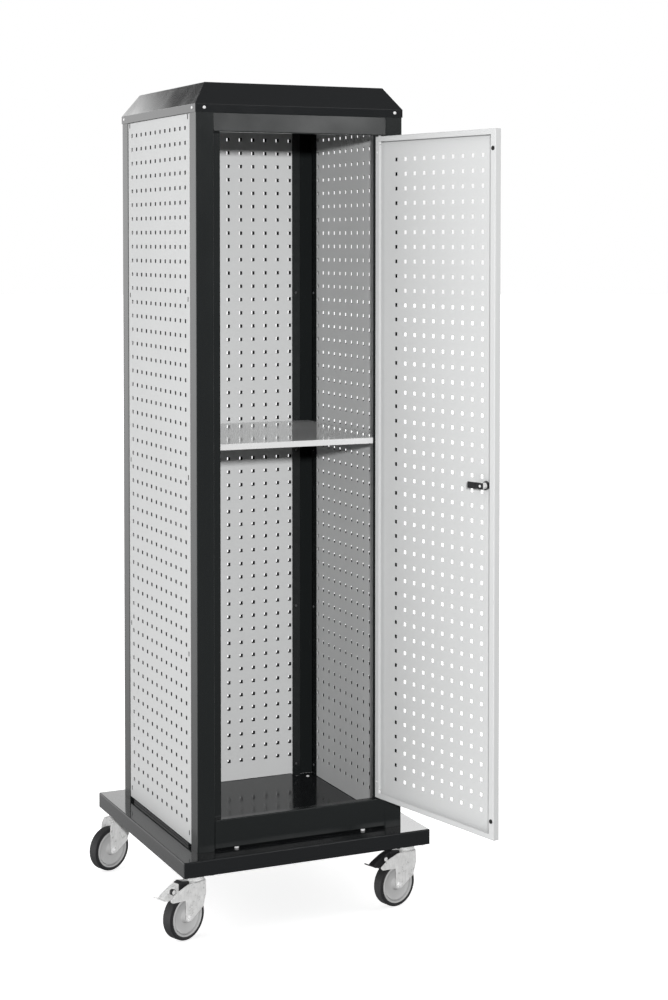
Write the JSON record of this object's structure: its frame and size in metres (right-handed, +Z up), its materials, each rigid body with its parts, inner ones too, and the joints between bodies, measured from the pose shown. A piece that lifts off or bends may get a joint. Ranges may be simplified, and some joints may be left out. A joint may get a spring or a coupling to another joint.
{
  "type": "mobile perforated-panel tool cabinet",
  "caption": "Tall mobile cabinet with double-skinned perforated walls, a perforated hinged door, a shelf, a hipped roof cap and a platform on swivel casters.",
  "frame": {"origin": "on the floor, under the middle of the square cabinet", "axes": "+Z up, -Y towards the door opening, +X towards the hinge side"},
  "size_m": [0.7869, 1.088, 2.1705],
  "materials": {
    "anthracite_coat": "satin powder coat",
    "light_grey_coat": "fine-textured powder coat",
    "galvanised_sheet": "smooth light grey, white front edge",
    "zinc_plate": "bright zinc",
    "black_rubber": "matte",
    "black_plastic": "satin",
    "rim_plastic": "satin",
    "grey_tyre": "matte, non-marking"
  },
  "bodies": {
    "cabinet": {"platform_tray": "anthracite_coat", "caster_rail_left": "anthracite_coat", "caster_rail_right": "anthracite_coat", "front_left_post": "anthracite_coat", "front_right_post": "anthracite_coat", "rear_left_post": "anthracite_coat", "rear_right_post": "anthracite_coat", "base_floor": "anthracite_coat", "sill": "anthracite_coat", "header": "anthracite_coat", "top_deck": "anthracite_coat", "roof_cap": "anthracite_coat", "right_outer_skin": "light_grey_coat", "right_inner_skin": "light_grey_coat", "rear_outer_skin": "light_grey_coat", "rear_inner_skin": "light_grey_coat", "left_outer_skin": "light_grey_coat", "left_inner_skin": "light_grey_coat", "shelf": "galvanised_sheet", "sill_bolt_left": "zinc_plate", "sill_bolt_right": "zinc_plate", "shelf_clip_front_left": "zinc_plate", "shelf_clip_front_right": "zinc_plate", "shelf_clip_rear_left": "zinc_plate", "shelf_clip_rear_right": "zinc_plate", "front_left_caster_plate": "zinc_plate", "front_right_caster_plate": "zinc_plate", "rear_left_caster_plate": "zinc_plate", "rear_right_caster_plate": "zinc_plate"},
    "door": {"door_leaf": "light_grey_coat", "hinge_pin_bottom": "zinc_plate", "hinge_pin_top": "zinc_plate", "door_bumper_bottom": "black_rubber", "door_bumper_top": "black_rubber", "lock_body": "zinc_plate", "lock_nut": "black_plastic"},
    "lock": {"lock_core": "zinc_plate", "lock_cam": "black_plastic"},
    "front_left_swivel": {"front_left_fork": "zinc_plate", "front_left_axle_bolt": "zinc_plate", "front_left_pedal_pin": "zinc_plate"},
    "front_left_wheel": {"front_left_rim": "rim_plastic", "front_left_tyre": "grey_tyre"},
    "front_left_brake": {"front_left_brake_pedal": "black_plastic"},
    "front_right_swivel": {"front_right_fork": "zinc_plate", "front_right_axle_bolt": "zinc_plate", "front_right_pedal_pin": "zinc_plate"},
    "front_right_wheel": {"front_right_rim": "rim_plastic", "front_right_tyre": "grey_tyre"},
    "front_right_brake": {"front_right_brake_pedal": "black_plastic"},
    "rear_left_swivel": {"rear_left_fork": "zinc_plate", "rear_left_axle_bolt": "zinc_plate"},
    "rear_left_wheel": {"rear_left_rim": "rim_plastic", "rear_left_tyre": "grey_tyre"},
    "rear_right_swivel": {"rear_right_fork": "zinc_plate", "rear_right_axle_bolt": "zinc_plate"},
    "rear_right_wheel": {"rear_right_rim": "rim_plastic", "rear_right_tyre": "grey_tyre"}
  },
  "joints": [
    {"name": "door_hinge", "type": "hinge", "parent": "cabinet", "child": "door", "pos_m": [0.23, -0.2808, 1.163], "axis": [0, 0, 1], "range_deg": [-102.1, 2.4]},
    {"name": "lock_turn", "type": "hinge", "parent": "door", "child": "lock", "pos_m": [0.31825, -0.69245, 1.161], "axis": [-0.9778, -0.2096, 0], "range_deg": [0, 180]},
    {"name": "front_left_swivel_turn", "type": "hinge", "parent": "cabinet", "child": "front_left_swivel", "pos_m": [-0.3, -0.3, 0.15], "axis": [0, 0, 1], "continuous": true},
    {"name": "front_left_wheel_spin", "type": "hinge", "parent": "front_left_swivel", "child": "front_left_wheel", "pos_m": [-0.33849, -0.31682, 0.06], "axis": [-0.4003, 0.9164, 0], "continuous": true},
    {"name": "front_left_brake_press", "type": "hinge", "parent": "front_left_swivel", "child": "front_left_brake", "pos_m": [-0.36598, -0.32882, 0.126], "axis": [0.4003, -0.9164, 0], "range_deg": [0, 14]},
    {"name": "front_right_swivel_turn", "type": "hinge", "parent": "cabinet", "child": "front_right_swivel", "pos_m": [0.3, -0.3, 0.15], "axis": [0, 0, 1], "continuous": true},
    {"name": "front_right_wheel_spin", "type": "hinge", "parent": "front_right_swivel", "child": "front_right_wheel", "pos_m": [0.25939, -0.31073, 0.06], "axis": [-0.2554, 0.9668, 0], "continuous": true},
    {"name": "front_right_brake_press", "type": "hinge", "parent": "front_right_swivel", "child": "front_right_brake", "pos_m": [0.23039, -0.31839, 0.126], "axis": [0.2554, -0.9668, 0], "range_deg": [0, 14]},
    {"name": "rear_left_swivel_turn", "type": "hinge", "parent": "cabinet", "child": "rear_left_swivel", "pos_m": [-0.3, 0.3, 0.15], "axis": [0, 0, 1], "continuous": true},
    {"name": "rear_left_wheel_spin", "type": "hinge", "parent": "rear_left_swivel", "child": "rear_left_wheel", "pos_m": [-0.33913, 0.28474, 0.06], "axis": [-0.3633, 0.9317, 0], "continuous": true},
    {"name": "rear_right_swivel_turn", "type": "hinge", "parent": "cabinet", "child": "rear_right_swivel", "pos_m": [0.3, 0.3, 0.15], "axis": [0, 0, 1], "continuous": true},
    {"name": "rear_right_wheel_spin", "type": "hinge", "parent": "rear_right_swivel", "child": "rear_right_wheel", "pos_m": [0.25983, 0.28772, 0.06], "axis": [-0.2924, 0.9563, 0], "continuous": true}
  ]
}
